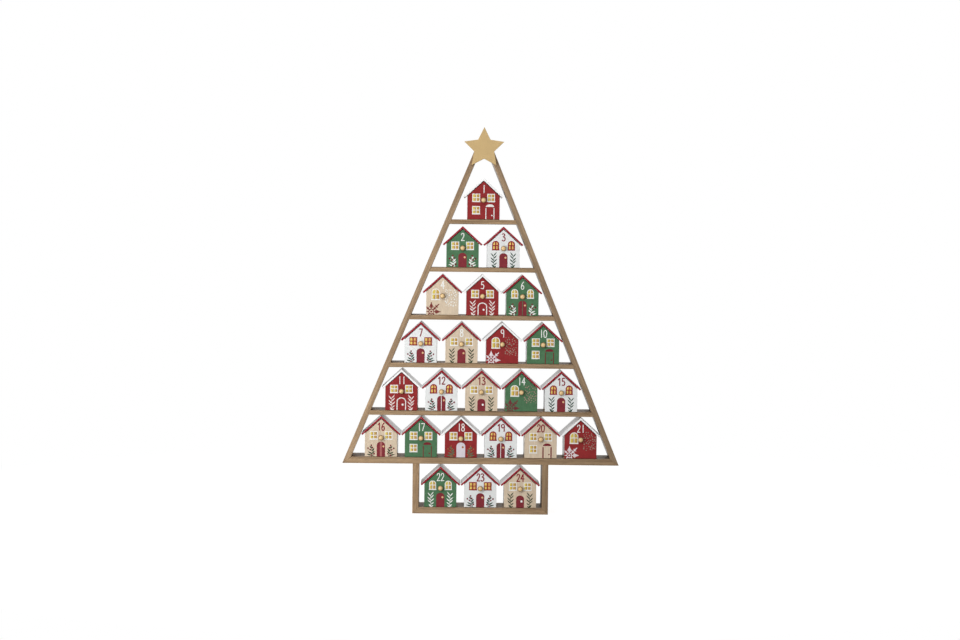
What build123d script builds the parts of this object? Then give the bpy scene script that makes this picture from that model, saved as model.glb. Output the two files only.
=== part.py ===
from build123d import *
import math
import os

# Tree-shaped advent calendar in wood. A raked frame of boards has six tiers and a trunk,
# 24 small gabled houses stand glued on the tiers, each house has a pull-out drawer with a
# gable front and a turned knob, and a star is glued over the apex.
# Millimetres, +Z up, front towards -Y, origin under the middle of the trunk floor.

# Frame boards: thickness and common depth
frame_depth = 55.0
side_board = 7.5
base_board = 8.5
trunk_board = 8.5
shelf_board = 6.0

# One house: outer width, wall up to the underside of the roof, roof pitch in degrees
house_width = 44.0
wall_height = 33.0
roof_slope = 42.4
eave_overhang = 5.1
house_board = 3.0
roof_board = 2.4

# Room left round the houses
row_gap = 0.3
wide_row_gap = 1.4
head_gap = 3.0
bottom_head_gap = 1.45
trunk_head_gap = 3.35
top_eave_gap = 3.4
bottom_eave_gap = 0.8
trunk_eave_gap = 2.6

# One drawer: its front lies under the roof, its tray slides on the floor of the house
front_setback = 1.0
front_roof_clearance = 0.6
front_foot_clearance = 0.6
tray_board = 2.5
tray_height = 22.0
tray_side_clearance = 0.4
tray_back_clearance = 1.0

# Turned knob: a short round stem whose outer edge is taken off by a wide bevel
knob_radius = 3.6
knob_face_radius = 1.8
knob_stem = 3.6
knob_bevel = 2.4
knob_level = 26.5

# Star on the front of the apex
star_radius = 28.5
star_valley_share = 0.5
star_points = 5
star_board = 5.0
star_tip_drop = 0.3
apex_trim = 8.0

# Houses on each tier, from the first tier under the star down, then those in the trunk;
# on the wide tiers the houses stand further apart
tier_houses = [1, 2, 3, 4, 5, 6]
wide_tiers = [2, 4]
trunk_houses = 3

# Lines of the gable: top face and underside of the roof at a distance x from the ridge
slope = math.radians(roof_slope)
roof_span = house_width + 2 * eave_overhang
ridge_underside = wall_height + house_width / 2 * math.tan(slope)
house_height = ridge_underside + roof_board / math.cos(slope)


def roof_top(x):
    return house_height - x * math.tan(slope)


def roof_underside(x):
    return ridge_underside - x * math.tan(slope)


# Levels of the boards, from the floor up
base_bottom = trunk_board + house_height + trunk_head_gap
base_top = base_bottom + base_board
bottom_pitch = house_height + bottom_head_gap + shelf_board
tier_pitch = house_height + head_gap + shelf_board
tiers = len(tier_houses)


def tier_floor(tier):
    """Upper face of the board that a tier stands on; tier 1 is the top one, the last stands on the base."""
    if tier == tiers:
        return base_top
    return base_top + bottom_pitch + (tiers - 1 - tier) * tier_pitch


def house_pitch(tier):
    return roof_span + (wide_row_gap if tier in wide_tiers else row_gap)


def row_half(count, pitch):
    return ((count - 1) * pitch + roof_span) / 2


# Rake of the sides: they pass the end eaves of the first and the last tier at their gaps
eave_level = roof_top(roof_span / 2)
top_half = row_half(tier_houses[0], house_pitch(1)) + top_eave_gap
bottom_half = row_half(tier_houses[-1], house_pitch(tiers)) + bottom_eave_gap
rake_share = (bottom_half - top_half) / (tier_floor(1) - tier_floor(tiers))
side_run = side_board * math.hypot(1, rake_share)


def inner_half(z):
    """Half the clear width between the sides at a level."""
    return bottom_half + rake_share * (tier_floor(tiers) + eave_level - z)


def outer_half(z):
    return inner_half(z) + side_run


inner_apex = tier_floor(tiers) + eave_level + bottom_half / rake_share
outer_apex = inner_apex + side_run / rake_share
apex_top = outer_apex - apex_trim
trunk_pitch = roof_span + row_gap
trunk_inner_half = row_half(trunk_houses, trunk_pitch) + trunk_eave_gap
trunk_half = trunk_inner_half + trunk_board

# Places along the depth, front to back
frame_front = -frame_depth / 2
frame_back = frame_depth / 2
front_face = frame_front + front_setback
shell_front = front_face + house_board
shell_back = frame_back - house_board
tray_back = shell_back - tray_back_clearance


def board(points, front, back):
    """A board cut to an outline of (x, z) points, standing between two depths."""
    outline = Plane.XZ.offset(-back) * Polygon(*points, align=None)
    return extrude(outline, amount=back - front, dir=(0, -1, 0))


def slab(half_width, bottom, top, front, back):
    """A rectangular board centred on the middle plane of the house."""
    corners = [(-half_width, bottom), (half_width, bottom), (half_width, top), (-half_width, top)]
    return board(corners, front, back)


def mirrored(points):
    return [(-x, z) for x, z in reversed(points)]


def frame_board(points):
    return board(points, frame_front, frame_back)


def frame_side():
    """Outline of the right side, mitred at the apex and at the base corner."""
    return [
        (inner_half(base_top), base_top),
        (outer_half(base_bottom), base_bottom),
        (outer_half(apex_top), apex_top),
        (0, apex_top),
        (0, inner_apex),
    ]


def shelf(tier):
    """Shelf under a tier, its ends bevelled to lie against the sides."""
    top = tier_floor(tier)
    bottom = top - shelf_board
    right = [(inner_half(bottom), bottom), (inner_half(top), top)]
    return frame_board(right + mirrored(right))


def base():
    right = [(outer_half(base_bottom), base_bottom), (inner_half(base_top), base_top)]
    return frame_board(right + mirrored(right))


def trunk_floor():
    right = [(trunk_half, 0), (trunk_inner_half, trunk_board)]
    return frame_board(right + mirrored(right))


def trunk_post():
    """Outline of the right trunk post, mitred to the floor and butted under the base."""
    return [
        (trunk_inner_half, trunk_board),
        (trunk_half, 0),
        (trunk_half, base_bottom),
        (trunk_inner_half, base_bottom),
    ]


def star():
    centre = outer_apex - star_tip_drop - star_radius
    points = []
    for corner in range(2 * star_points):
        reach = star_radius if corner % 2 == 0 else star_radius * star_valley_share
        turn = math.pi / 2 + corner * math.pi / star_points
        points.append((reach * math.cos(turn), centre + reach * math.sin(turn)))
    return board(points, frame_front - star_board, frame_front)


def gable(half_width, foot, clearance, front, back):
    """A five-sided gable board that ends a clearance under the roof, measured square to it."""
    drop = clearance / math.cos(slope)
    right = [(half_width, foot), (half_width, roof_underside(half_width) - drop)]
    ridge = [(0, ridge_underside - drop)]
    return board(right + ridge + mirrored(right), front, back)


def house_shell():
    """Boards of the fixed house: floor, two walls, gable back and two roof boards."""
    half = house_width / 2
    inner = half - house_board
    eave = roof_span / 2
    wall = [
        (inner, house_board),
        (half, house_board),
        (half, roof_underside(half)),
        (inner, roof_underside(inner)),
    ]
    roof = [
        (0, ridge_underside),
        (eave - roof_board * math.sin(slope), roof_top(eave) - roof_board * math.cos(slope)),
        (eave, roof_top(eave)),
        (0, house_height),
    ]
    return [
        slab(half, 0, house_board, shell_front, shell_back),
        board(wall, shell_front, shell_back),
        board(mirrored(wall), shell_front, shell_back),
        gable(half, 0, 0, shell_back, frame_back),
        frame_board(roof),
        frame_board(mirrored(roof)),
    ]


def knob():
    """Turned knob glued to the drawer front, revolved about its own axis."""
    rim = front_face - knob_stem
    tip = rim - knob_bevel
    profile = Polygon(
        (0, tip),
        (knob_face_radius, tip),
        (knob_radius, rim),
        (knob_radius, front_face),
        (0, front_face),
        align=None,
    )
    return Pos(0, 0, knob_level) * revolve(profile, axis=Axis.Y)


def drawer():
    """Boards of one drawer: gable front, tray bottom, two tray sides and tray back; and the knob."""
    half = house_width / 2 - house_board - tray_side_clearance
    inner = half - tray_board
    tray_floor = house_board + tray_board
    tray_top = house_board + tray_height
    side = [(inner, tray_floor), (half, tray_floor), (half, tray_top), (inner, tray_top)]
    return [
        gable(house_width / 2, front_foot_clearance, front_roof_clearance, front_face, shell_front),
        slab(half, house_board, tray_floor, shell_front, tray_back),
        board(side, shell_front, tray_back),
        board(mirrored(side), shell_front, tray_back),
        slab(inner, tray_floor, tray_top, tray_back - tray_board, tray_back),
        knob(),
    ]


def house_places():
    """Middle and floor level of each house, in the order of the days."""
    rows = [(count, house_pitch(tier), tier_floor(tier)) for tier, count in enumerate(tier_houses, start=1)]
    rows.append((trunk_houses, trunk_pitch, trunk_board))
    places = []
    for count, pitch, level in rows:
        for place in range(count):
            places.append(((place - (count - 1) / 2) * pitch, level))
    return places


def frame_nodes():
    nodes = {
        "side_left": [frame_board(mirrored(frame_side()))],
        "side_right": [frame_board(frame_side())],
        "base_board": [base()],
        "trunk_left": [frame_board(mirrored(trunk_post()))],
        "trunk_right": [frame_board(trunk_post())],
        "trunk_floor": [trunk_floor()],
        "star": [star()],
    }
    for tier in range(1, tiers):
        nodes[f"shelf_{tier}"] = [shelf(tier)]
    return nodes


def house_nodes():
    nodes = {}
    shell_boards = house_shell()
    drawer_boards = drawer()
    for day, (x, level) in enumerate(house_places(), start=1):
        nodes[f"house_{day:02d}_shell"] = [Pos(x, 0, level) * piece for piece in shell_boards]
        nodes[f"house_{day:02d}_drawer"] = [Pos(x, 0, level) * piece for piece in drawer_boards]
    return nodes


os.makedirs("parts", exist_ok=True)
for name, solids in {**frame_nodes(), **house_nodes()}.items():
    export_step(Compound(children=solids), f"parts/{name}.step")
print("rake", round(math.degrees(math.atan(rake_share)), 2), "width", round(2 * outer_half(base_bottom), 1))
print("height", round(outer_apex - star_tip_drop, 1), "drawer travel", round(tray_back - shell_front, 1))
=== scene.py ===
import math
import random
from typing import NamedTuple

import bmesh
import bpy
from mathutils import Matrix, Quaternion, Vector


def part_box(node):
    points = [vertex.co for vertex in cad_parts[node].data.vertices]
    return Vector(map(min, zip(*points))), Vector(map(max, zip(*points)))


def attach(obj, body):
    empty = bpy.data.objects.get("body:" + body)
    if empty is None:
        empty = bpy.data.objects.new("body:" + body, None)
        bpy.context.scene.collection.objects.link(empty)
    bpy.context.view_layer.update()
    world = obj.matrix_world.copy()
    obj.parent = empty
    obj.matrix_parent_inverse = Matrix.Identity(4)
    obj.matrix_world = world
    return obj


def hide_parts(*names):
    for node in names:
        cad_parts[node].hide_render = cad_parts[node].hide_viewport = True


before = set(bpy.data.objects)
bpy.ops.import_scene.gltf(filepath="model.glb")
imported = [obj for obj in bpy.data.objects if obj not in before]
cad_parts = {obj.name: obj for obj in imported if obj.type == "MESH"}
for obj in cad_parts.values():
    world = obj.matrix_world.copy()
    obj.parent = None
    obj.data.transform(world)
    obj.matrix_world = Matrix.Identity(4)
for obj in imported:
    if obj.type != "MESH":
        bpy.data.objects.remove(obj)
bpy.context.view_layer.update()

# Tree-shaped wooden advent calendar: a raked frame of stained boards, 24 small gabled houses with
# painted drawer fronts, and a gold star. The houses are drawn in millimetres about the middle of
# their foot, with x to the right and z up on the front, and set in place in metres.

scene = bpy.context.scene
MM = 0.001


def node_box(node):
    """Lowest and highest corner of a frame node, in millimetres."""
    low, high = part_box(node)
    return low / MM, high / MM


# Sizes of one house, from the frame
SHELL_LOW, SHELL_HIGH = node_box("house_01_shell")
DRAWER_LOW, DRAWER_HIGH = node_box("house_01_drawer")
HOUSE_WIDTH = DRAWER_HIGH.x - DRAWER_LOW.x
HOUSE_HEIGHT = SHELL_HIGH.z - SHELL_LOW.z
ROOF_SPAN = SHELL_HIGH.x - SHELL_LOW.x
ROOF_FRONT = SHELL_LOW.y
ROOF_BACK = SHELL_HIGH.y
FRONT_FOOT = DRAWER_LOW.z - SHELL_LOW.z
TRAY_BACK = DRAWER_HIGH.y

# Sizes of the house boards and the knob that the boxes don't tell, as in the frame
ROOF_SLOPE = math.radians(42.4)
HOUSE_BOARD = 3.0
ROOF_BOARD = 2.4
FRONT_SETBACK = 1.0
TRAY_BOARD = 2.5
TRAY_HEIGHT = 22.0
TRAY_SIDE_CLEARANCE = 0.4
KNOB_RADIUS = 3.6
KNOB_LENGTH = 6.0
KNOB_LEVEL = 26.5

# The fronts end a little further under the roof than in the frame, so that a dark line shows there
FRONT_CLEARANCE = 0.9

# Places along the depth of a house
FRONT_FACE = ROOF_FRONT + FRONT_SETBACK
SHELL_FRONT = FRONT_FACE + HOUSE_BOARD
SHELL_BACK = ROOF_BACK - HOUSE_BOARD
KNOB_TIP = FRONT_FACE - KNOB_LENGTH
KNOB_MIDDLE = FRONT_FACE - KNOB_LENGTH / 2

# Softened edges of all boards, and the distance at which split corners of the frame's boards join
EDGE = 0.35
EDGE_STEPS = 2
WELD = 0.01

# Print on the fronts: height of the ink and of each layer on it, the number of slightly different
# heights within a layer, and how deep the back of the print lies in the wood
INK = 0.10
LAYER = 0.05
LAYER_STEPS = 16
SINK = 0.05

# Rake of the sides: half the width of the base, less the share of it that is left where the apex is
# cut level, over their height
APEX_HALF_SHARE = 0.017
SIDE_LOW, SIDE_HIGH = node_box("side_right")
BASE_HIGH = node_box("base_board")[1]
RAKE = math.atan((1 - APEX_HALF_SHARE) * BASE_HIGH.x / (SIDE_HIGH.z - SIDE_LOW.z))

# Boards of the frame: how far each leans from upright, and how much lighter or darker each is made at
# its two ends, left to right or foot to top
UPRIGHT = 0.0
LEVEL = math.pi / 2
SHELVES = 5
BOARDS = {
    "side_left": (RAKE, (1.14, 0.91)),
    "side_right": (-RAKE, (0.78, 0.92)),
    "base_board": (LEVEL, (1.1, 0.82)),
    "trunk_left": (UPRIGHT, (1.3, 1.3)),
    "trunk_right": (UPRIGHT, (0.78, 0.82)),
    "trunk_floor": (LEVEL, (0.94, 1.02)),
    **{f"shelf_{tier}": (LEVEL, (1.0, 1.0)) for tier in range(1, SHELVES + 1)},
}

# Materials

# Colours as they look in plain light, 0 to 255
COLOURS = {
    "red": (143, 40, 41),
    "green": (76, 116, 82),
    "white": (234, 236, 235),
    "natural": (220, 201, 176),
    "roof_white": (226, 226, 227),
    "roof_red": (151, 25, 40),
    # painted light: a lighter copy of the roofs' white paint, for the front, back and ends of the red
    # houses' roofs
    "lit_edge_white": (252, 252, 252),
    "raw_board": (196, 165, 130),
    "knob": (238, 204, 148),
    # painted shade on the rims of the knobs
    "knob_painted_shade": (138, 104, 64),
    "stain_light": (174, 146, 114),
    "stain_dark": (152, 124, 94),
    "star": (199, 171, 121),
    "star_deep": (180, 150, 101),
    "ink_white": (240, 240, 236),
    "ink_shell": (240, 226, 222),
    "ink_frost": (232, 222, 225),
    "ink_pale": (222, 215, 221),
    "ink_red": (130, 16, 34),
    "ink_frame": (142, 28, 42),
    "ink_line": (114, 26, 38),
    "ink_door": (127, 42, 50),
    "ink_blush": (172, 102, 98),
    "ink_rust": (120, 50, 46),
    "ink_wine": (112, 46, 52),
    "ink_berry": (114, 20, 36),
    "ink_leaf": (30, 62, 46),
    "ink_olive": (46, 58, 36),
    "ink_moss": (84, 112, 84),
    "ink_dust": (158, 136, 122),
    "ink_brass": (166, 108, 60),
    "ink_gold": (228, 186, 140),
    "pane_yellow": (220, 196, 88),
    "pane_amber": (198, 162, 80),
    "pane_pale": (240, 210, 108),
    "pane_peach": (230, 178, 104),
    "pane_deep": (172, 122, 62),
}


def linear(name, shade=1.0):
    """A named colour as linear light by the sRGB curve, made darker or lighter by a shade."""

    def channel(value):
        value = value / 255
        return value / 12.92 if value <= 0.04045 else ((value + 0.055) / 1.055) ** 2.4

    return (*(min(1.0, channel(value) * shade) for value in COLOURS[name]), 1.0)


def grey(tone):
    return (tone, tone, tone, 1.0)


class Noise(NamedTuple):
    """A noise field: its sizes across, in depth and along in metres, its detail, and the two of its
    values at which one tone ends and another begins."""

    sizes: tuple
    detail: float
    ends: tuple = (0.3, 0.7)
    roughness: float = 0.6
    distortion: float = 0.0


PAINT_CLOUD = Noise((0.004, 0.004, 0.005), 5.0)
PAINT_TOOTH = Noise((0.0006, 0.0006, 0.0006), 2.0)
WOOD_BANDS = Noise((0.0014, 0.004, 0.024), 5.0, (0.3, 0.68), distortion=0.4)
RAW_BANDS = Noise((0.002, 0.002, 0.003), 5.0, (0.3, 0.68), distortion=0.4)
KNOB_GRAIN = Noise((0.0012, 0.009, 0.0012), 4.0, (0.35, 0.65))
STAR_FLAKES = Noise((0.0009, 0.0009, 0.0009), 3.0, (0.3, 0.66), roughness=0.75)
STAR_CLOUD = Noise((0.012, 0.012, 0.012), 3.0)
PANE_CLOUD = Noise((0.0022, 0.0022, 0.0022), 2.0, (0.25, 0.75))
STAIN_BANDS = Noise((0.006, 0.008, 0.2), 5.0, (0.38, 0.62), distortion=0.6)
# Grain over the bands of the stain, and the tones at its ends
STAIN_GRAIN = [
    (Noise((0.0012, 0.0016, 0.04), 3.0, (0.38, 0.62)), (0.8, 1.1)),
    (Noise((0.0005, 0.0006, 0.01), 2.0, (0.36, 0.46)), (0.72, 1.0)),
    (Noise((0.03, 0.03, 0.12), 3.0, (0.36, 0.64)), (0.9, 1.1)),
]
# How far the grain shifts from one board to the next, in metres
STAIN_SHIFT = (0.37, 0.11, 0.53)

# Fibres of pale wood: their sizes beside those of the bands, detail, ends, depth of tone beside the
# contrast, and how much they show; the pale bands are lighter by a share of the contrast
FIBRE_SIZE_SHARE = 0.35
FIBRE_DETAIL = 3.0
FIBRE_ENDS = (0.36, 0.5)
FIBRE_DEPTH = 1.6
FIBRE_MIX_SHARE = 0.4
PALE_BAND_SHARE = 0.5

# Shares of the way from a knob's tip to its middle between which painted shade darkens it, and tones
# of its grain
KNOB_PAINTED_SHADE_SHARES = (0.14, 0.62)
KNOB_TONES = (0.9, 1.05)

# Tones of the star's flakes and of the ground under them, and how much of the ground shows
STAR_FLAKE_TONE = 1.08
STAR_GROUND_TONES = (0.94, 1.05)
STAR_GROUND_SHARE = 0.5

# Tones of the deeper and the lighter patches of a pane
PANE_TONES = (0.82, 1.1)

# Strength, and depth in metres, of fine relief
PAINT_RELIEF = (0.25, 0.00002)
WOOD_RELIEF = (0.25, 0.00003)
STAIN_RELIEF = (0.2, 0.00003)
KNOB_RELIEF = (0.2, 0.00002)

# Roughness and specular level of matt and satin boards
MATT = (0.5, 0.2)
SATIN = (0.36, 0.4)
SATIN_BOARDS = ("side_left", "side_right")

# Colour sockets of a mix node, which share their names with its other sockets
MIX_FIRST, MIX_SECOND, MIX_RESULT = 6, 7, 2


class Tree:
    """A short way to add and join the nodes of one new material or world."""

    def __init__(self, owner):
        owner.use_nodes = True
        self.owner = owner
        self.nodes = owner.node_tree.nodes
        self.links = owner.node_tree.links
        self.shader = self.nodes.get("Principled BSDF")

    def feed(self, node, inputs):
        """Sets inputs of a node to plain values, or joins them to outputs of other nodes."""
        for socket, value in inputs.items():
            if isinstance(value, bpy.types.NodeSocket):
                self.links.new(value, node.inputs[socket])
            else:
                node.inputs[socket].default_value = value

    def add(self, kind, inputs=None, **settings):
        node = self.nodes.new(kind)
        for key, value in settings.items():
            setattr(node, key, value)
        self.feed(node, inputs or {})
        return node

    def where(self):
        return self.add("ShaderNodeTexCoord").outputs["Object"]

    def noise(self, field, turn=0.0, shift=(0.0, 0.0, 0.0)):
        """A noise field on the object, turned about the depth axis and shifted."""
        place = {"Location": shift, "Rotation": (0, turn, 0), "Scale": field.sizes}
        mapping = self.add("ShaderNodeMapping", {"Vector": self.where(), **place}, vector_type="TEXTURE")
        inputs = {
            "Vector": mapping.outputs["Vector"],
            "Scale": 1.0,
            "Detail": field.detail,
            "Roughness": field.roughness,
            "Distortion": field.distortion,
        }
        return self.add("ShaderNodeTexNoise", inputs).outputs[0]

    def span(self, value, start, end):
        """0 to 1 as a value goes from start to end."""
        inputs = {"Value": value, "From Min": start, "From Max": end}
        return self.add("ShaderNodeMapRange", inputs).outputs["Result"]

    def along(self, axis, start, end):
        """0 to 1 along one axis of the object, between two places in metres."""
        parts = self.add("ShaderNodeSeparateXYZ", {"Vector": self.where()})
        return self.span(parts.outputs[axis], start, end)

    def ramp(self, value, ends, colours):
        """From one colour to another as a value goes from one end to the other."""
        node = self.add("ShaderNodeValToRGB", {"Fac": value})
        for element, end, colour in zip(node.color_ramp.elements, ends, colours):
            element.position = end
            element.color = colour
        return node.outputs["Color"]

    def mix(self, share, first, second, blend="MIX"):
        inputs = {"Factor": share, MIX_FIRST: first, MIX_SECOND: second}
        return self.add("ShaderNodeMix", inputs, data_type="RGBA", blend_type=blend).outputs[MIX_RESULT]

    def toned(self, colour, value, ends, tones):
        """A colour made darker or lighter as a value goes from one end to the other."""
        greys = self.ramp(value, ends, [grey(tone) for tone in tones])
        return self.mix(1.0, colour, greys, "MULTIPLY")

    def maths(self, operation, first, second):
        return self.add("ShaderNodeMath", {0: first, 1: second}, operation=operation).outputs[0]

    def seen_directly(self):
        """1 where a ray comes straight from the camera, a gloss or a glass, otherwise 0."""
        path = self.add("ShaderNodeLightPath")
        seen = path.outputs["Is Camera Ray"]
        for name in ("Is Glossy Ray", "Is Transmission Ray"):
            seen = self.maths("MAXIMUM", seen, path.outputs[name])
        return seen

    def relief(self, height, strength, depth):
        node = self.add("ShaderNodeBump", {"Height": height, "Strength": strength, "Distance": depth})
        self.feed(self.shader, {"Normal": node.outputs["Normal"]})

    def finish(self, colour, roughness, specular=0.35, metallic=0.0):
        look = {"Roughness": roughness, "Specular IOR Level": specular, "Metallic": metallic}
        self.feed(self.shader, {"Base Color": colour, **look})
        return self.owner


def new_material(name):
    return Tree(bpy.data.materials.new(name))


def paint(name, colour, spread=0.07, roughness=0.62, specular=0.2):
    """Matt paint on board: a soft mottle in its colour over the fine tooth of a roller."""
    tree = new_material(name)
    tree.relief(tree.noise(PAINT_TOOTH), *PAINT_RELIEF)
    shades = (linear(colour, 1 - spread), linear(colour, 1 + spread))
    mottle = tree.ramp(tree.noise(PAINT_CLOUD), PAINT_CLOUD.ends, shades)
    return tree.finish(mottle, roughness, specular)


def pale_wood(name, colour, bands=WOOD_BANDS, contrast=0.2, roughness=0.6, specular=0.2):
    """Light wood with upright grain: pale bands, and fine darker fibres along them."""
    tree = new_material(name)
    fibres = Noise(tuple(size * FIBRE_SIZE_SHARE for size in bands.sizes), FIBRE_DETAIL, FIBRE_ENDS)
    fibre = tree.noise(fibres)
    band_shades = (linear(colour, 1 - contrast), linear(colour, 1 + PALE_BAND_SHARE * contrast))
    fibre_shades = (linear(colour, 1 - FIBRE_DEPTH * contrast), linear(colour))
    banded = tree.ramp(tree.noise(bands), bands.ends, band_shades)
    fibred = tree.ramp(fibre, fibres.ends, fibre_shades)
    tree.relief(fibre, *WOOD_RELIEF)
    return tree.finish(tree.mix(FIBRE_MIX_SHARE, banded, fibred), roughness, specular)


def stained_wood(node, lean, shades, seed):
    """Brown stained veneer with its grain along a board of the frame that leans from upright."""
    tree = new_material(f"stain_{node}")
    shift = tuple(step * seed for step in STAIN_SHIFT)
    bands = tree.noise(STAIN_BANDS, lean, shift)
    colour = tree.ramp(bands, STAIN_BANDS.ends, (linear("stain_dark"), linear("stain_light")))
    for grain, tones in STAIN_GRAIN:
        field = tree.noise(grain, lean, shift)
        colour = tree.toned(colour, field, grain.ends, tones)
    tree.relief(field, *STAIN_RELIEF)
    low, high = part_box(node)
    length = tree.along("X", low.x, high.x) if lean == LEVEL else tree.along("Z", low.z, high.z)
    colour = tree.toned(colour, length, (0, 1), shades)
    roughness, specular = SATIN if node in SATIN_BOARDS else MATT
    return tree.finish(colour, roughness, specular)


def turned_wood(name):
    """Lacquered turned wood of the knobs, with painted shade that darkens the ball from its tip towards
    its middle.
    """
    tree = new_material(name)
    grain = tree.noise(KNOB_GRAIN)
    depth = tree.along("Y", KNOB_TIP * MM, KNOB_MIDDLE * MM)
    # painted shade: the ball darkens from its tip towards its middle
    turned = tree.ramp(depth, KNOB_PAINTED_SHADE_SHARES, (linear("knob"), linear("knob_painted_shade")))
    tree.relief(grain, *KNOB_RELIEF)
    return tree.finish(tree.toned(turned, grain, KNOB_GRAIN.ends, KNOB_TONES), roughness=0.4)


def gold_paint(name):
    """Gold paint: a fine metal grain that glints a little, over a warm ground."""
    tree = new_material(name)
    flake = tree.noise(STAR_FLAKES)
    flakes = tree.ramp(flake, STAR_FLAKES.ends, (linear("star_deep"), linear("star", STAR_FLAKE_TONE)))
    shades = [linear("star", tone) for tone in STAR_GROUND_TONES]
    ground = tree.ramp(tree.noise(STAR_CLOUD), STAR_CLOUD.ends, shades)
    tree.relief(flake, *WOOD_RELIEF)
    return tree.finish(tree.mix(STAR_GROUND_SHARE, flakes, ground), roughness=0.46, metallic=0.25)


def glow_pane(name):
    """Lamplit window print in the colour of its name, with softly lighter and deeper patches."""
    tree = new_material(name)
    shades = [linear(name, tone) for tone in PANE_TONES]
    return tree.finish(tree.ramp(tree.noise(PANE_CLOUD), PANE_CLOUD.ends, shades), roughness=0.5)


# Spread of the mottle, and the inks that have it
INK_SPREADS = {
    0.03: ("ink_white", "ink_shell", "ink_frost"),
    0.05: ("ink_pale",),
    0.07: ("ink_red", "ink_frame", "ink_line", "ink_blush", "ink_rust", "ink_wine", "ink_berry"),
    0.1: ("ink_dust",),
    0.12: ("ink_door",),
    0.15: ("ink_leaf", "ink_olive", "ink_moss"),
}
GOLD_INKS = ("ink_brass", "ink_gold")
PANES = ("pane_yellow", "pane_amber", "pane_pale", "pane_peach", "pane_deep")
FINISHES = {
    "red": paint("paint_red", "red", spread=0.12),
    "green": paint("paint_green", "green", spread=0.16),
    "white": paint("paint_white", "white", spread=0.03),
    "natural": pale_wood("wood_natural", "natural"),
    "wall_natural": pale_wood("wall_natural", "natural", roughness=0.3, specular=0.5),
    "roof_white": paint("roof_white", "roof_white", spread=0.04, roughness=0.3, specular=0.5),
    "roof_red": paint("roof_red", "roof_red"),
    "lit_edge_white": paint("lit_edge_white", "lit_edge_white", spread=0.02),
    "raw_board": pale_wood("raw_board", "raw_board", RAW_BANDS, contrast=0.1),
    "knob": turned_wood("wood_knob"),
    **{
        ink: paint(ink, ink, spread, roughness=0.55)
        for spread, inks in INK_SPREADS.items()
        for ink in inks
    },
    **{ink: paint(ink, ink, roughness=0.45) for ink in GOLD_INKS},
    **{pane: glow_pane(pane) for pane in PANES},
}


# Meshes


class Draft:
    """A mesh in the making at one place, of closed solids with named finishes."""

    def __init__(self, place):
        self.bm = bmesh.new()
        self.place = place
        self.finishes = []

    def slot(self, finish):
        if finish not in self.finishes:
            self.finishes.append(finish)
        return self.finishes.index(finish)

    def point(self, x, y, z):
        return self.bm.verts.new(self.place + Vector((x, y, z)) * MM)

    def face(self, points, finish):
        self.bm.faces.new(points).material_index = self.slot(finish)

    def prism(self, outline, front, back, finish, rear=None, edges=None):
        """A board with an (x, z) outline, anticlockwise seen from the front, between two depths.
        rear is the finish of its back, and edges that of each edge face in turn."""
        fore = [self.point(x, front, z) for x, z in outline]
        aft = [self.point(x, back, z) for x, z in outline]
        self.face(fore, finish)
        self.face(aft[::-1], rear or finish)
        count = len(outline)
        for here in range(count):
            after = (here + 1) % count
            edge = edges[here] if edges else finish
            self.face([fore[here], aft[here], aft[after], fore[after]], edge)

    def ring(self, radius, depth, level, sides):
        """Points round a line along the depth, or the one point on it where the radius is 0."""
        if radius == 0:
            return [self.point(0, depth, level)]
        points = []
        for side in range(sides):
            turn = 2 * math.pi * side / sides
            points.append(self.point(radius * math.cos(turn), depth, level + radius * math.sin(turn)))
        return points

    def turned(self, profile, level, finish, sides):
        """A closed solid turned about a line along the depth, from (radius, depth) points."""
        rings = [self.ring(radius, depth, level, sides) for radius, depth in profile]
        for near, far in zip(rings, rings[1:]):
            for side in range(sides):
                after = (side + 1) % sides
                corners = [near[side % len(near)], near[after % len(near)]]
                corners += [far[after % len(far)], far[side % len(far)]]
                self.face(list(dict.fromkeys(corners)), finish)

    def piece(self, name, body, smooth=False, softened=False):
        """The finished object, riding on a body, with smooth shading or softened edges if asked."""
        bmesh.ops.recalc_face_normals(self.bm, faces=self.bm.faces)
        mesh = bpy.data.meshes.new(name)
        self.bm.to_mesh(mesh)
        self.bm.free()
        for finish in self.finishes:
            mesh.materials.append(FINISHES[finish])
        made = bpy.data.objects.new(name, mesh)
        scene.collection.objects.link(made)
        if smooth or softened:
            mesh.shade_smooth()
        if softened:
            soften(made)
        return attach(made, body)


def soften(made):
    bevel = made.modifiers.new("softened edges", "BEVEL")
    bevel.width = EDGE * MM
    bevel.segments = EDGE_STEPS
    bevel.limit_method = "ANGLE"
    bevel.harden_normals = True


def mirrored(points):
    return [(-x, z) for x, z in reversed(points)]


def box(left, right, bottom, top):
    return [(left, bottom), (right, bottom), (right, top), (left, top)]


def arc(centre, radii, start, end, steps):
    """Points on an ellipse about a centre, between two angles in degrees, both ends included."""
    points = []
    for step in range(steps + 1):
        angle = math.radians(start + (end - start) * step / steps)
        points.append((centre[0] + radii[0] * math.cos(angle), centre[1] + radii[1] * math.sin(angle)))
    return points


def arch(left, right, foot, top, rise, steps=10):
    """Outline of an arched opening whose head rises by an elliptical arc."""
    half = (right - left) / 2
    head = arc((left + half, top - rise), (half, rise), 0, 180, steps)
    return [(left, foot), (right, foot)] + head


def curve_point(before, here, there, after, way):
    """A point on a Catmull-Rom curve, way from 0 to 1 between the two middle points."""

    def along(a, b, c, d):
        bend = (2 * a - 5 * b + 4 * c - d) * way**2
        twist = (3 * b - a - 3 * c + d) * way**3
        return 0.5 * (2 * b + (c - a) * way + bend + twist)

    return tuple(along(*values) for values in zip(before, here, there, after))


def smoothed(points, steps=6):
    """A smooth line through a few points."""
    ends = [points[0]] + list(points) + [points[-1]]
    line = []
    for stretch in zip(ends, ends[1:], ends[2:], ends[3:]):
        line += [curve_point(*stretch, step / steps) for step in range(steps)]
    return line + [tuple(points[-1])]


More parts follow.
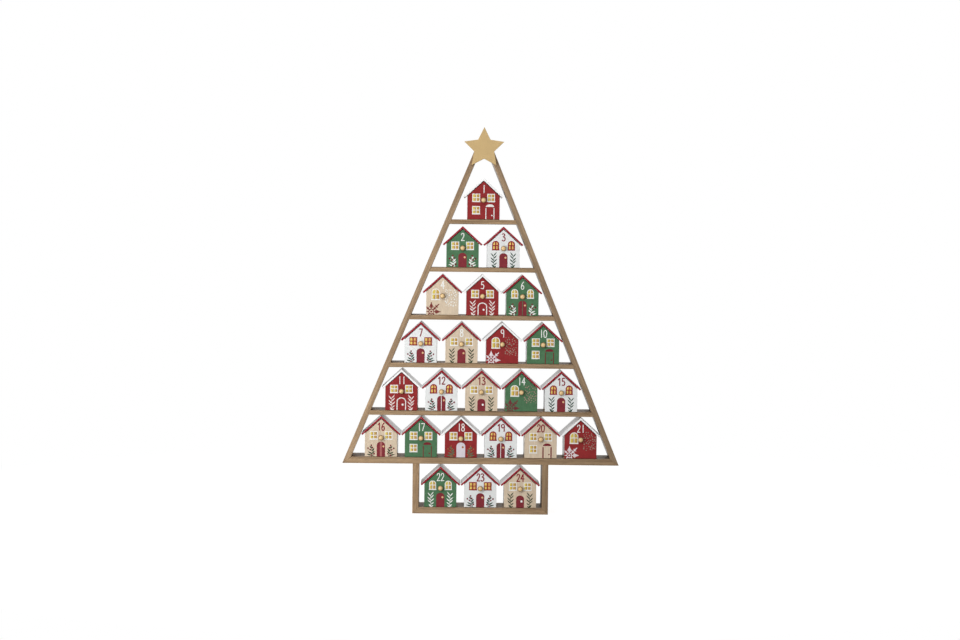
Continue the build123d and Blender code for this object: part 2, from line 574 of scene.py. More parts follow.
def ribbon(points, width, cap_steps=4):
    """Outline of a stroke of one width along a line of points, with round ends."""
    line = [Vector(point) for point in points]
    ways = [(after - here).normalized() for here, after in zip(line, line[1:])]
    left, right = [], []
    for index, point in enumerate(line):
        before = ways[max(index - 1, 0)]
        after = ways[min(index, len(ways) - 1)]
        along = (before + after).normalized()
        across = Vector((-along.y, along.x)) * (width / 2)
        left.append(point + across)
        right.append(point - across)

    def cap(point, way):
        turn = math.degrees(math.atan2(way.y, way.x))
        return arc(point, (width / 2, width / 2), turn - 90, turn + 90, cap_steps)[1:-1]

    outline = right + cap(line[-1], ways[-1]) + left[::-1] + cap(line[0], -ways[0])
    return [(point[0], point[1]) for point in outline]


# Frame: the frame's own nodes with softened edges, stained veneer and a gold star


def dress_frame():
    for seed, (node, (lean, shades)) in enumerate(BOARDS.items(), start=1):
        dress_node(node, stained_wood(node, lean, shades, seed))
    dress_node("star", gold_paint("gold_star"))


def dress_node(node, material):
    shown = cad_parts[node]
    shown.data.materials.clear()
    shown.data.materials.append(material)
    weld = shown.modifiers.new("one surface", "WELD")
    weld.merge_threshold = WELD * MM
    soften(shown)


# Houses

RIDGE_UNDERSIDE = HOUSE_HEIGHT - ROOF_BOARD / math.cos(ROOF_SLOPE)


def roof_underside(x):
    return RIDGE_UNDERSIDE - x * math.tan(ROOF_SLOPE)


def gable(half, foot, clearance):
    """Outline of a five-sided board that ends a clearance under the roof, measured square to it."""
    drop = clearance / math.cos(ROOF_SLOPE)
    right = [(half, foot), (half, roof_underside(half) - drop)]
    return right + [(0, RIDGE_UNDERSIDE - drop)] + mirrored(right)


def house_shell(day, place, walls, roof_edge):
    """The fixed boards of one house: floor, walls, gable back and a roof with painted edges."""
    draft = Draft(place)
    half = HOUSE_WIDTH / 2
    inner = half - HOUSE_BOARD
    eave = ROOF_SPAN / 2
    eave_top = HOUSE_HEIGHT - eave * math.tan(ROOF_SLOPE)
    wall = [
        (inner, HOUSE_BOARD),
        (half, HOUSE_BOARD),
        (half, roof_underside(half)),
        (inner, roof_underside(inner)),
    ]
    right = [
        (eave - ROOF_BOARD * math.sin(ROOF_SLOPE), eave_top - ROOF_BOARD * math.cos(ROOF_SLOPE)),
        (eave, eave_top),
    ]
    roof = [(0, RIDGE_UNDERSIDE)] + right + [(0, HOUSE_HEIGHT)] + mirrored(right)
    back = gable(half, 0, 0)
    wall_faces = ["raw_board", walls, "raw_board", "raw_board"]
    roof_faces = ["roof_white", roof_edge, "roof_white", "roof_white", roof_edge, "roof_white"]
    draft.prism(box(-half, half, 0, HOUSE_BOARD), SHELL_FRONT, SHELL_BACK, "raw_board")
    draft.prism(wall, SHELL_FRONT, SHELL_BACK, "raw_board", edges=wall_faces)
    draft.prism(mirrored(wall), SHELL_FRONT, SHELL_BACK, "raw_board", edges=wall_faces)
    draft.prism(back, SHELL_BACK, ROOF_BACK, "raw_board", rear=walls, edges=[walls] * len(back))
    draft.prism(roof, ROOF_FRONT, ROOF_BACK, roof_edge, edges=roof_faces)
    shell = draft.piece(f"house_{day:02d}_boards", "frame", softened=True)
    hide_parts(f"house_{day:02d}_shell")


def house_drawer(day, place, front):
    """The gable front of one drawer with its tray behind it."""
    draft = Draft(place)
    half = HOUSE_WIDTH / 2 - HOUSE_BOARD - TRAY_SIDE_CLEARANCE
    inner = half - TRAY_BOARD
    floor = HOUSE_BOARD + TRAY_BOARD
    top = HOUSE_BOARD + TRAY_HEIGHT
    outline = gable(HOUSE_WIDTH / 2, FRONT_FOOT, FRONT_CLEARANCE)
    draft.prism(outline, FRONT_FACE, SHELL_FRONT, front, rear="raw_board")
    draft.prism(box(-half, half, HOUSE_BOARD, floor), SHELL_FRONT, TRAY_BACK, "raw_board")
    draft.prism(box(inner, half, floor, top), SHELL_FRONT, TRAY_BACK, "raw_board")
    draft.prism(box(-half, -inner, floor, top), SHELL_FRONT, TRAY_BACK, "raw_board")
    draft.prism(box(-inner, inner, floor, top), TRAY_BACK - TRAY_BOARD, TRAY_BACK, "raw_board")
    drawer = draft.piece(f"house_{day:02d}_front", f"drawer_{day:02d}", softened=True)
    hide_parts(f"house_{day:02d}_drawer")


# Knob: radius of its foot beside the ball's, and the angles in degrees at which the ball leaves the
# foot and ends at the tip
KNOB_FOOT_SHARE = 0.62
KNOB_NECK = 52
KNOB_END = -90
KNOB_STEPS = 12
KNOB_SIDES = 28


def house_knob(day, place):
    """A turned ball knob on a short foot, glued to the front."""
    draft = Draft(place)
    foot = FRONT_FACE + SINK
    ball = arc((0, KNOB_MIDDLE), (KNOB_RADIUS, KNOB_LENGTH / 2), KNOB_NECK, KNOB_END, KNOB_STEPS)
    profile = [(0, foot), (KNOB_RADIUS * KNOB_FOOT_SHARE, foot)] + ball[:-1] + [(0, ball[-1][1])]
    draft.turned(profile, KNOB_LEVEL, "knob", KNOB_SIDES)
    draft.piece(f"house_{day:02d}_knob", f"drawer_{day:02d}", smooth=True)


# Drawings on the fronts

# Places along a leaf, from its root, where its two broad corners lie
LEAF_SHOULDER_SHARE = 0.25
LEAF_NECK_SHARE = 0.65
# Room left between the drawings and the edges of a front
FRONT_MARGIN = 0.8


def way_at(angle):
    """The direction at an angle in degrees from upright, positive to the right."""
    return Vector((math.sin(math.radians(angle)), math.cos(math.radians(angle))))


class Drawing(Draft):
    """Printed ink on one front, in layers of flat shapes. Within a layer the shapes lie in turn at
    slightly different heights, so that those that overlap aren't in one plane."""

    shapes = 0

    def shape(self, outline, finish, layer=0):
        height = INK + LAYER * (layer + self.shapes % LAYER_STEPS / LAYER_STEPS)
        self.shapes += 1
        self.prism(outline, FRONT_FACE - height, FRONT_FACE + SINK, finish)

    def stroke(self, points, width, finish, layer=0):
        self.shape(ribbon(points, width), finish, layer)

    def dot(self, centre, radius, finish, layer=0, sides=12):
        self.shape(arc(centre, (radius, radius), 0, 360 - 360 / sides, sides - 1), finish, layer)

    def leaf(self, root, angle, length, width, finish, taper_share=0.9):
        """A pointed leaf that grows from its root at an angle in degrees from upright; the taper is
        the share of its width left near the tip."""
        root = Vector(root)
        way = way_at(angle)
        across = Vector((way.y, -way.x)) * (width / 2)
        shoulder = root + way * length * LEAF_SHOULDER_SHARE
        neck = root + way * length * LEAF_NECK_SHARE
        right = [shoulder + across, neck + across * taper_share]
        left = [neck - across * taper_share, shoulder - across]
        self.shape([tuple(point) for point in [root, *right, root + way * length, *left]], finish)


# Windows: sizes, places of their middles and feet, glazing bars and sills
WINDOW_SIZE = (10.6, 11.4)
WINDOW_OFFSET = 10.1
ARCHED_SIZE = (9.5, 13.0)
ARCHED_OFFSET = 10.7
WINDOW_LEVEL = 23.8
LOWER_LEVEL = 7.0
SINGLE_SIZE = (11.4, 15.8)
SINGLE_OFFSET = -9.0
SINGLE_LEVEL = 20.6
WINDOW_BAR = 1.05
RED_BAR = 1.2
ARCHED_RED_BAR = 1.5
SILL_HEIGHT = 1.6
SILL_OVERHANG = 0.2
ARCHED_OVERHANG = 0.3
ARCH_RISE_SHARE = 0.46
ARCH_BAR_SHARE = 0.6
PANE_STEPS = 5
# A deeper strip along the right side of the panes
PANE_SHADE_SHARE = 0.3
# Inks of the frame and of the left and right panes
WHITE_WINDOW = ("ink_white", "pane_yellow", "pane_amber")
RED_WINDOW = ("ink_frame", "pane_pale", "pane_peach")


def arched_pane(middle, side, half, foot, top, rise, bar):
    """Outline of the upper pane on one side of an arched window."""
    shoulder = math.degrees(math.acos(bar / 2 / half))
    curve = arc((middle, top - rise), (half, rise), 0, shoulder, PANE_STEPS)
    pane = [(middle + bar / 2, foot), (middle + half, foot)] + curve
    return pane if side > 0 else [(2 * middle - x, z) for x, z in reversed(pane)]


def window(drawing, middle, level, size, inks, bar=WINDOW_BAR, arched=False):
    """A window of two by two lit panes between glazing bars, over a small sill."""
    width, height = size
    frame_ink, *panes = inks
    left = middle - width / 2
    right = middle + width / 2
    top = level + height
    rise = width * ARCH_RISE_SHARE
    overhang = ARCHED_OVERHANG if arched else SILL_OVERHANG
    foot = level + SILL_HEIGHT
    head = top - bar
    bar_level = foot + (head - foot - bar) / 2
    half = width / 2 - bar
    outline = arch(left, right, level, top, rise) if arched else box(left, right, level, top)
    drawing.shape(outline, frame_ink)
    drawing.shape(box(left - overhang, right + overhang, level, foot), frame_ink, layer=1)
    for side, pane in zip((-1, 1), panes):
        low, high = sorted((middle + side * bar / 2, middle + side * half))
        shade = high - (high - low) * PANE_SHADE_SHARE
        drawing.shape(box(low, high, foot, bar_level), pane, layer=1)
        drawing.shape(box(shade, high, foot, bar_level), "pane_deep", layer=2)
        upper_foot = bar_level + bar
        if arched:
            upper = arched_pane(middle, side, half, upper_foot, head, rise - bar * ARCH_BAR_SHARE, bar)
            drawing.shape(upper, pane, layer=1)
        else:
            drawing.shape(box(low, high, upper_foot, head), pane, layer=1)
            drawing.shape(box(shade, high, upper_foot, head), "pane_deep", layer=2)


def draw_windows(drawing, front, kind):
    inks = RED_WINDOW if front == "white" else WHITE_WINDOW
    if kind == "single":
        window(drawing, SINGLE_OFFSET, SINGLE_LEVEL, SINGLE_SIZE, inks, arched=True)
        return
    arched = kind == "arched"
    size = ARCHED_SIZE if arched else WINDOW_SIZE
    offset = ARCHED_OFFSET if arched else WINDOW_OFFSET
    bar = WINDOW_BAR
    if front == "white":
        bar = ARCHED_RED_BAR if arched else RED_BAR
    for middle in (-offset, offset):
        window(drawing, middle, WINDOW_LEVEL, size, inks, bar, arched)
    if kind == "three":
        window(drawing, -WINDOW_OFFSET, LOWER_LEVEL, WINDOW_SIZE, inks)


# Filled doors: width, height, ink; place, radius and ink of the knob
FILLED_DOORS = {
    "plain": (11.2, 20.0, "ink_door", (2.9, 14.0), 1.4, "ink_gold"),
    "short": (10.8, 17.3, "ink_door", (2.0, 9.2), 1.5, "ink_white"),
    "pale": (12.0, 21.0, "ink_pale", (2.6, 14.6), 1.45, "ink_brass"),
    "double": (11.4, 21.0, "ink_door", (3.4, 14.6), 1.35, "ink_gold"),
}
DOOR_RISE_SHARE = 0.42
# Double doors: ink and width of the strip where the two leaves meet
DOOR_SEAMS = {"green": ("green", 0.6), "white": ("ink_white", 0.75), "natural": ("ink_blush", 2.8)}
# Doors drawn in lines: an arch, or a square porch under an awning
DOOR_LINES = {"red": "ink_white", "green": "ink_line", "natural": "ink_line"}
OUTLINE_WIDTH = 11.6
OUTLINE_HEIGHT = 17.4
OUTLINE_LINE = 1.25
OUTLINE_STEPS = 14
OUTLINE_KNOB = (1.7, 8.2)
OUTLINE_KNOB_RADIUS = 1.4
PORCH_MIDDLE = 8.8
PORCH_WIDTH = 11.0
PORCH_LINES = {"red": 1.1, "green": 1.1, "natural": 1.7}
PORCH_KNOB = (11.5, 5.8)
PORCH_KNOB_RADIUS = 1.0
AWNING_WIDTH = 11.4
AWNING_LEVEL = 17.4
AWNING_HEIGHT = 3.5
AWNING_GAP = 1.3
AWNING_STEPS = 12


def filled_door(drawing, kind):
    width, height, ink, knob, knob_radius, knob_ink = FILLED_DOORS[kind]
    outline = arch(-width / 2, width / 2, FRONT_FOOT, height, width * DOOR_RISE_SHARE)
    drawing.shape(outline, ink)
    drawing.dot(knob, knob_radius, knob_ink, layer=1)


def double_door(drawing, front):
    """A door of two leaves with a paler strip where they meet."""
    filled_door(drawing, "double")
    ink, width = DOOR_SEAMS[front]
    height = FILLED_DOORS["double"][1]
    drawing.shape(box(-width / 2, width / 2, FRONT_FOOT, height), ink, layer=1)


def outline_door(drawing, ink):
    """A door drawn as an arched line alone."""
    half = OUTLINE_WIDTH / 2
    rise = OUTLINE_WIDTH * DOOR_RISE_SHARE
    foot = FRONT_FOOT + OUTLINE_LINE / 2
    head = arc((0, OUTLINE_HEIGHT - rise), (half, rise), 0, 180, OUTLINE_STEPS)
    drawing.stroke([(half, foot)] + head + [(-half, foot)], OUTLINE_LINE, ink)
    drawing.dot(OUTLINE_KNOB, OUTLINE_KNOB_RADIUS, ink)


def porch_door(drawing, ink, width):
    """A square door drawn in thin lines, under an awning."""
    half = PORCH_WIDTH / 2
    foot = FRONT_FOOT + width / 2
    top = AWNING_LEVEL - AWNING_GAP - width / 2
    for x in (PORCH_MIDDLE - half, PORCH_MIDDLE + half):
        drawing.stroke([(x, foot), (x, top)], width, ink)
    awning = (AWNING_WIDTH / 2, AWNING_HEIGHT)
    drawing.shape(arc((PORCH_MIDDLE, AWNING_LEVEL), awning, 0, 180, AWNING_STEPS), ink)
    drawing.dot(PORCH_KNOB, PORCH_KNOB_RADIUS, ink)


def draw_door(drawing, front, kind):
    if kind in ("plain", "short", "pale"):
        filled_door(drawing, kind)
    if kind == "double":
        double_door(drawing, front)
    if kind == "outline":
        outline_door(drawing, DOOR_LINES[front])
    if kind == "porch":
        porch_door(drawing, DOOR_LINES[front], PORCH_LINES[front])


# Plants beside the doors
STEM_LINE = 0.5
STALK_LINE = 0.35
FERN_INKS = {"red": "ink_shell", "green": "ink_white", "white": "ink_leaf", "natural": "ink_olive"}
FERN_STEM = [(12.4, 0.8), (13.0, 8.0), (13.2, 16.4)]
FERN_PAIRS = 5
FERN_LEAF = 6.7
FERN_LEAF_WIDTH = 1.45
# Turns of the leaves in degrees at the foot and at the tip of the stem
FERN_SPREAD = (54, 38)
# How many steps the leaves lie lower on the outer side of the stem, 1, and on the inner side, -1
FERN_DROPS = {1: 0.5, -1: 0.0}
# The part of a half wave that the lengths of the leaves follow, from the foot to the tip
FERN_SWELL_SHARES = (0.18, 0.65)


def place_on(stem, share):
    return stem[round(share * (len(stem) - 1))]


def fern(drawing, side, ink):
    """An upright frond of slim pointed leaves, those on its outer side half a step lower. Their
    lengths swell and shrink along a part of a half wave, and the last inner one is its tip."""
    stem = smoothed([(side * x, z) for x, z in FERN_STEM], steps=2 * FERN_PAIRS)
    drawing.stroke(stem, STEM_LINE, ink)
    low, high = FERN_SPREAD
    start, end = FERN_SWELL_SHARES
    for pair in range(FERN_PAIRS):
        for way, drop in FERN_DROPS.items():
            share = max(0, pair - drop) / (FERN_PAIRS - 1)
            swell = math.sin(math.pi * (start + (end - start) * share))
            length = FERN_LEAF if share == 1 else FERN_LEAF * swell
            turn = low + (high - low) * share
            drawing.leaf(place_on(stem, share), side * way * turn, length, FERN_LEAF_WIDTH, ink)


# Inks of the leaves and berries
SPRIG_INKS = {
    "red": ("ink_moss", "ink_brass"),
    "green": ("ink_white", "ink_berry"),
    "white": ("ink_leaf", "ink_berry"),
    "natural": ("ink_olive", "ink_berry"),
}
SPRIG_STEM = [(10.3, 0.9), (12.0, 8.0), (13.2, 15.2)]
SPRIG_STEPS = 12
# Leaves: share along the stem, outward turn in degrees, length
SPRIG_LEAF_SHARES = [
    (0.09, 75, 9.2),
    (0.27, 62, 7.5),
    (0.75, 43, 4.0),
    (0.34, -43, 4.3),
    (0.52, -36, 5.0),
]
SPRIG_LEAF_WIDTH = 1.9
# Berries: share along the stem, outward turn in degrees, stalk
SPRIG_BERRY_SHARES = [
    (0.04, 66, 2.9),
    (0.17, -40, 2.3),
    (0.45, 44, 3.7),
    (0.45, 50, 7.4),
    (0.68, -22, 2.3),
    (1.0, 0, 0.9),
]
BERRY_RADII = {"ink_berry": 1.15, "ink_brass": 0.85}
BERRY_SIDES = 10


def sprig(drawing, side, ink, berry_ink):
    """A leaning twig with broad leaves, larger on the outer side, and berries on short stalks."""
    stem = smoothed([(side * x, z) for x, z in SPRIG_STEM], steps=SPRIG_STEPS)
    drawing.stroke(stem, STEM_LINE, ink)
    for share, turn, length in SPRIG_LEAF_SHARES:
        drawing.leaf(place_on(stem, share), side * turn, length, SPRIG_LEAF_WIDTH, ink)
    for share, turn, stalk in SPRIG_BERRY_SHARES:
        root = place_on(stem, share)
        berry = tuple(Vector(root) + way_at(side * turn) * stalk)
        drawing.stroke([root, berry], STALK_LINE, ink)
        drawing.dot(berry, BERRY_RADII[berry_ink], berry_ink, layer=1, sides=BERRY_SIDES)


# Large flake in the lower corner of the snowy fronts
FLAKE_INKS = {"red": "ink_frost", "green": "ink_wine", "natural": "ink_rust"}
FLAKE_MIDDLE = (-15.1, 4.9)
FLAKE_ARMS = 8
FLAKE_RING = 3.3
FLAKE_RING_STEPS = 10
FLAKE_EYE = 1.4
FLAKE_LINE = 1.05
PETAL_ARM = 12.4
PETAL = 6.6
PETAL_WIDTH = 4.8
PETAL_TAPER_SHARE = 0.5
PETAL_SIDE = 4.4
PETAL_SIDE_LEAN = 52
BARBED_ARM = 14.2
BARBED_LINE = 1.45
BARB = 3.6
BARB_WIDTH = 1.2
BARB_LEAN = 45
BARB_SHARES = (0.38, 0.62)
# Slant under which an arm counts as level or upright
LEAST_SLANT = 0.01


def petals(drawing, tip, way, turn, ink):
    """A broad petal that ends an arm of the flake, with a slim leaf on each side of its root."""
    root = tip - way * PETAL
    drawing.leaf(root, turn, PETAL, PETAL_WIDTH, ink, PETAL_TAPER_SHARE)
    for lean in (-PETAL_SIDE_LEAN, PETAL_SIDE_LEAN):
        drawing.leaf(root - way, turn + lean, PETAL_SIDE, FLAKE_LINE, ink)


def barbs(drawing, way, turn, room, ink):
    """Pairs of slim barbs along an arm of the flake, shorter where they near the edge of the front."""
    for share in BARB_SHARES:
        start = BARBED_ARM * share
        length = min(BARB, (room - start) * math.cos(math.radians(BARB_LEAN)))
        if length < BARB_WIDTH:
            continue
        for lean in (-BARB_LEAN, BARB_LEAN):
            drawing.leaf(Vector(FLAKE_MIDDLE) + way * start, turn + lean, length, BARB_WIDTH, ink)


def flake_way(arm):
    """Direction of an arm of the flake, its turn from upright in degrees and the room along it."""
    angle = 2 * math.pi * arm / FLAKE_ARMS
    way = Vector((math.cos(angle), math.sin(angle)))
    side_room = FLAKE_MIDDLE[0] + HOUSE_WIDTH / 2 - FRONT_MARGIN
    foot_room = FLAKE_MIDDLE[1] - FRONT_FOOT - FRONT_MARGIN
    room = min(side_room / max(-way.x, LEAST_SLANT), foot_room / max(-way.y, LEAST_SLANT))
    return way, 90 - math.degrees(angle), room


def snowflake(drawing, ink):
    """A ring with arms that have barbs or petals in turn, cut short at the edges of the front."""
    middle = Vector(FLAKE_MIDDLE)
    for start in (0, 180):
        half_ring = arc(FLAKE_MIDDLE, (FLAKE_RING, FLAKE_RING), start, start + 180, FLAKE_RING_STEPS)
        drawing.stroke(half_ring, FLAKE_LINE, ink)
    drawing.dot(FLAKE_MIDDLE, FLAKE_EYE, ink)
    for arm in range(FLAKE_ARMS):
        way, turn, room = flake_way(arm)
        petalled = arm % 2 == 0
        tip = middle + way * min(PETAL_ARM if petalled else BARBED_ARM, room)
        line = FLAKE_LINE if petalled else BARBED_LINE
        drawing.stroke([middle + way * FLAKE_RING, tip], line, ink, layer=1)
        if not petalled:
            barbs(drawing, way, turn, room, ink)
        elif room > PETAL_ARM:
            petals(drawing, tip, way, turn, ink)


# Drift of snow dots beside the knob
SNOW_INKS = {"red": "ink_dust", "green": "ink_dust", "natural": "ink_white"}
SNOW_LEFT = 4.0
SNOW_BOTTOM = 12.0
SNOW_TOP = 36.5
SNOW_ROOF_GAP = 3.2
SNOW_DOTS = 44
SNOW_RADII = (0.5, 1.1)
SNOW_SPACING = 2.2
SNOW_SIDES = 7


def snowfall(drawing, day, ink):
    """Fine dots over the upper right of the front, apart from each other, the knob and the roof."""
    dice = random.Random(day)
    right = HOUSE_WIDTH / 2 - FRONT_MARGIN - SNOW_RADII[1]
    placed = []
    while len(placed) < SNOW_DOTS:
        x = dice.uniform(SNOW_LEFT, right)
        z = dice.uniform(SNOW_BOTTOM, SNOW_TOP)
        near_roof = z > roof_underside(x) - SNOW_ROOF_GAP
        near_knob = math.hypot(x, z - KNOB_LEVEL) < KNOB_RADIUS + SNOW_RADII[1]
        crowded = any(math.dist((x, z), dot) < SNOW_SPACING for dot in placed)
        if near_roof or near_knob or crowded:
            continue
        drawing.dot((x, z), dice.uniform(*SNOW_RADII), ink, len(placed) / SNOW_DOTS, SNOW_SIDES)
        placed.append((x, z))


def draw_plants(drawing, day, front, kind):
    """A plant on each side of the door, or the flake and the snow."""
    if kind == "snow":
        snowflake(drawing, FLAKE_INKS[front])
        snowfall(drawing, day, SNOW_INKS[front])
    for side in (-1, 1):
        if kind == "fern":
            fern(drawing, side, FERN_INKS[front])
        if kind == "sprig":
            sprig(drawing, side, *SPRIG_INKS[front])


# Numerals: strokes in shares of a numeral's width and height, drawn smooth or straight
NUMERAL_SHARES = {
    "0": [
        ("smooth", [(0.5, 1), (0.12, 0.8), (0.05, 0.45), (0.22, 0.08), (0.5, 0),
                    (0.8, 0.1), (0.95, 0.5), (0.85, 0.85), (0.5, 1)]),
    ],
    "1": [("straight", [(0.2, 0.78), (0.6, 1), (0.6, 0)])],
    "2": [
        ("smooth", [(0.08, 0.76), (0.3, 0.98), (0.72, 0.96), (0.86, 0.72), (0.55, 0.36), (0.08, 0.0)]),
        ("straight", [(0.08, 0.0), (0.94, 0.02)]),
    ],
    "3": [
        ("smooth", [(0.1, 0.94), (0.55, 1), (0.86, 0.8), (0.4, 0.57)]),
        ("smooth", [(0.4, 0.57), (0.9, 0.42), (0.88, 0.12), (0.45, 0), (0.06, 0.12)]),
    ],
    "4": [("straight", [(0.72, 0), (0.72, 1), (0.06, 0.36), (1.0, 0.36)])],
    "5": [
        ("straight", [(0.86, 1), (0.2, 0.98), (0.16, 0.58)]),
        ("smooth", [(0.16, 0.58), (0.62, 0.6), (0.9, 0.32), (0.66, 0.04), (0.1, 0.06)]),
    ],
    "6": [
        ("smooth", [(0.76, 1), (0.3, 0.7), (0.08, 0.28), (0.36, 0),
                    (0.8, 0.1), (0.86, 0.38), (0.5, 0.52), (0.12, 0.34)]),
    ],
    "7": [("straight", [(0.06, 0.98), (0.92, 1), (0.36, 0)])],
    "8": [
        ("smooth", [(0.5, 0.55), (0.22, 0.65), (0.16, 0.8), (0.28, 0.96), (0.5, 1)]),
        ("smooth", [(0.5, 1), (0.72, 0.96), (0.84, 0.8), (0.78, 0.65), (0.5, 0.55)]),
        ("smooth", [(0.5, 0.55), (0.18, 0.43), (0.08, 0.26), (0.2, 0.06), (0.5, 0)]),
        ("smooth", [(0.5, 0), (0.8, 0.06), (0.92, 0.26), (0.82, 0.43), (0.5, 0.55)]),
    ],
    "9": [
        ("smooth", [(0.9, 0.76), (0.78, 0.57), (0.5, 0.5), (0.18, 0.57), (0.06, 0.76),
                    (0.18, 0.94), (0.5, 1), (0.78, 0.94), (0.9, 0.76)]),
        ("straight", [(0.9, 0.76), (0.86, 0)]),
    ],
}
# The white 1 is a plain bar
PLAIN_ONE_SHARES = [("straight", [(0.6, 1), (0.6, 0)])]
NUMERAL_INKS = {"red": "ink_white", "green": "ink_white", "white": "ink_red", "natural": "ink_red"}
NUMERAL_LINES = {"ink_white": 1.1, "ink_red": 1.4}
# Days with a white number on natural wood, in a bolder line
PALE_DAYS = (4, 8)
PALE_LINE = 1.5
NUMERAL_HEIGHT = 9.9
NUMERAL_WIDTH = 4.5
NUMERAL_PITCH = 5.5
NUMERAL_LEVEL = 36.6
NUMERAL_PIECES = 4


def in_pieces(line, count):
    """A line cut into pieces that join end to end, so that no stroke along a loop crosses itself."""
    cuts = [round(cut * (len(line) - 1) / count) for cut in range(count + 1)]
    return [line[start : end + 1] for start, end in zip(cuts, cuts[1:])]


def draw_number(drawing, day, front):
    numerals = str(day)
    pale = day in PALE_DAYS
    ink = "ink_white" if pale else NUMERAL_INKS[front]
    width = PALE_LINE if pale else NUMERAL_LINES[ink]
    for place, numeral in enumerate(numerals):
        left = (place - (len(numerals) - 1) / 2) * NUMERAL_PITCH - NUMERAL_WIDTH / 2
        plain_one = numeral == "1" and ink == "ink_white"
        strokes = PLAIN_ONE_SHARES if plain_one else NUMERAL_SHARES[numeral]
        for layer, (kind, shares) in enumerate(strokes):
            points = [(left + x * NUMERAL_WIDTH, NUMERAL_LEVEL + z * NUMERAL_HEIGHT) for x, z in shares]
            line = smoothed(points) if kind == "smooth" else points
            count = NUMERAL_PIECES if kind == "smooth" else len(points) - 1
            for piece in in_pieces(line, count):
                drawing.stroke(piece, width, ink, layer)


# What is on each house: front, windows, door, plants
HOUSES = {
    1: ("red", "three", "porch", None),
    2: ("green", "square", "plain", "sprig"),
    3: ("white", "arched", "plain", "fern"),
    4: ("natural", "single", None, "snow"),
    5: ("red", "square", "outline", "fern"),
    6: ("green", "arched", "double", "sprig"),
    7: ("white", "square", "plain", "sprig"),
    8: ("natural", "square", "plain", "fern"),
    9: ("red", "single", None, "snow"),
    10: ("green", "three", "porch", None),
    11: ("red", "square", "outline", "fern"),
    12: ("white", "arched", "double", "sprig"),
    13: ("natural", "square", "short", "fern"),
    14: ("green", "single", None, "snow"),
    15: ("white", "arched", "plain", "fern"),
    16: ("natural", "square", "double", "sprig"),
    17: ("green", "three", "porch", None),
    18: ("red", "square", "pale", "sprig"),
    19: ("white", "arched", "double", "sprig"),
    20: ("natural", "three", "porch", None),
    21: ("red", "single", None, "snow"),
    22: ("green", "arched", "plain", "fern"),
    23: ("white", "square", "plain", "sprig"),
    24: ("natural", "square", "short", "fern"),
}


def house_print(day, place, front, windows, door, plants):
    drawing = Drawing(place)
    draw_windows(drawing, front, windows)
    draw_door(drawing, front, door)
    draw_plants(drawing, day, front, plants)
    draw_number(drawing, day, front)
    drawing.piece(f"house_{day:02d}_print", f"drawer_{day:02d}")


def build_houses():
    for day, (front, *drawings) in HOUSES.items():
        low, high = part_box(f"house_{day:02d}_shell")
        place = Vector(((low.x + high.x) / 2, 0, low.z))
        walls = "wall_natural" if front == "natural" else "roof_white"
        # the red houses' roof edges take a lighter copy of the roofs' white paint as painted light
        roof_edge = "lit_edge_white" if front == "red" else "roof_red"
        house_shell(day, place, walls, roof_edge)
        house_drawer(day, place, front)
        house_knob(day, place)
        house_print(day, place, front, *drawings)


# Stage, light and camera, in metres

FLOOR_HALF = 6.0
FLOOR_DROP = 0.0002
FLOOR_FADE = (0.3, 0.9)
FLOOR_SHADE = 0.5
FLOOR_LIFT = 0.8
AMBIENT = 0.34
# Lamps: place, size and power
LAMPS = {
    "key": ((-0.7, -0.7, 0.36), 0.75, 6.8),
    "top": ((0.0, -1.7, 1.7), 1.2, 10.5),
    "rear": ((0.8, 0.8, 0.55), 0.6, 3.2),
}
LAMP_AIM = (0.0, 0.0, 0.25)
CAMERA_PLACE = (-0.033, -2.7277, 0.37075)
CAMERA_AIM = (-0.00305, -0.0275, 0.26536)
CAMERA_ROLL = math.radians(0.6562)
CAMERA_LENS = 74.44
SENSOR_WIDTH = 36.0


def light_world():
    """Even soft light from all round, seen as plain white."""
    scene.world = bpy.data.worlds.new("studio")
    tree = Tree(scene.world)
    light = tree.nodes["Background"]
    tree.feed(light, {"Color": grey(1.0), "Strength": AMBIENT})
    white = tree.add("ShaderNodeBackground", {"Color": grey(1.0)})
    shown = {"Fac": tree.seen_directly(), 1: light.outputs[0], 2: white.outputs[0]}
    choose = tree.add("ShaderNodeMixShader", shown)
    tree.feed(tree.nodes["World Output"], {"Surface": choose.outputs[0]})


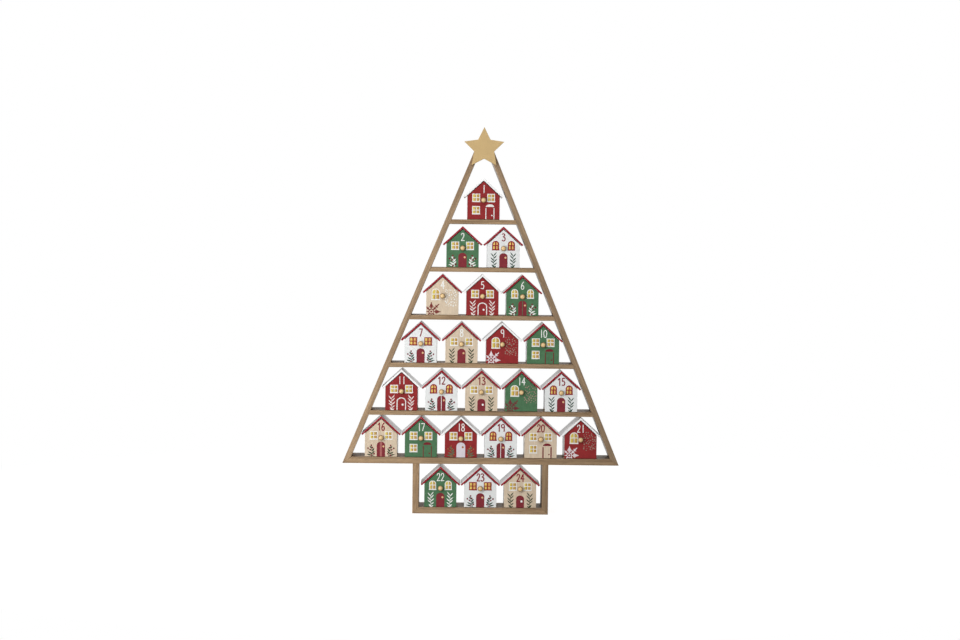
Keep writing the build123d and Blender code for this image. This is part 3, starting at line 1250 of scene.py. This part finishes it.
def floor_white():
    """Pale ground lifted towards white where it is seen directly, and plain white further out."""
    tree = new_material("floor_white")
    tree.nodes.remove(tree.shader)
    distance = tree.add("ShaderNodeVectorMath", {0: tree.where()}, operation="LENGTH")
    seen = tree.seen_directly()
    far = tree.maths("MULTIPLY", tree.span(distance.outputs["Value"], *FLOOR_FADE), seen)
    ground = tree.add("ShaderNodeBsdfDiffuse", {"Color": grey(FLOOR_SHADE)})
    lift = tree.add("ShaderNodeEmission", {"Strength": tree.maths("MULTIPLY", seen, FLOOR_LIFT)})
    near_floor = tree.add("ShaderNodeAddShader", {0: ground.outputs[0], 1: lift.outputs[0]})
    white = tree.add("ShaderNodeEmission")
    shown = {"Fac": far, 1: near_floor.outputs[0], 2: white.outputs[0]}
    choose = tree.add("ShaderNodeMixShader", shown)
    tree.feed(tree.nodes["Material Output"], {"Surface": choose.outputs[0]})
    return tree.owner


def lay_floor():
    """A pale floor that keeps a soft shadow under the calendar and fades into the white round it."""
    bm = bmesh.new()
    bmesh.ops.create_grid(bm, x_segments=1, y_segments=1, size=FLOOR_HALF)
    mesh = bpy.data.meshes.new("floor")
    bm.to_mesh(mesh)
    bm.free()
    mesh.materials.append(floor_white())
    floor = bpy.data.objects.new("floor", mesh)
    floor.location.z = -FLOOR_DROP
    scene.collection.objects.link(floor)


def hang_lamps():
    for name, (place, size, power) in LAMPS.items():
        light = bpy.data.lights.new(name, "AREA")
        light.energy = power
        light.size = size
        hung = bpy.data.objects.new(name, light)
        hung.location = place
        hung.rotation_euler = (Vector(LAMP_AIM) - Vector(place)).to_track_quat("-Z", "Y").to_euler()
        scene.collection.objects.link(hung)


def set_camera():
    lens = bpy.data.cameras.new("camera")
    lens.lens = CAMERA_LENS
    lens.sensor_width = SENSOR_WIDTH
    camera = bpy.data.objects.new("camera", lens)
    camera.location = CAMERA_PLACE
    camera.rotation_mode = "QUATERNION"
    look = (Vector(CAMERA_AIM) - Vector(CAMERA_PLACE)).to_track_quat("-Z", "Y")
    camera.rotation_quaternion = look @ Quaternion((0, 0, 1), CAMERA_ROLL)
    scene.collection.objects.link(camera)
    scene.camera = camera


dress_frame()
build_houses()
light_world()
lay_floor()
hang_lamps()
set_camera()
scene.view_settings.view_transform = "Standard"
